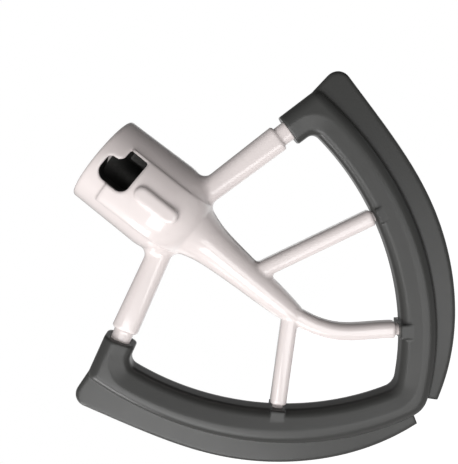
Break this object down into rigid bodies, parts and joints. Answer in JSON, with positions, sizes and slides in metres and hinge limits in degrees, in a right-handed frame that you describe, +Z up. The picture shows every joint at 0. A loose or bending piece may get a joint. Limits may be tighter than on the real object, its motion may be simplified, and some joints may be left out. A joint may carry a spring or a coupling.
{
  "type": "stand mixer flat beater",
  "caption": "Flat beater for a tilt-head stand mixer: cast frame with hub, arms and cross ribs, and a flexible silicone scraping edge moulded round its loop.",
  "frame": {"origin": "centre of the bore mouth in the plane of the hub rim", "axes": "+Z up along the hub axis toward the mixer, X across the width, -Y is the front with the pin slot"},
  "size_m": [0.1404, 0.0329, 0.1402],
  "materials": {
    "coated_casting": "glossy off-white coating",
    "silicone": "dark grey satin silicone"
  },
  "bodies": {
    "root": {"beater_frame": "coated_casting", "silicone_edge": "silicone"}
  },
  "joints": []
}
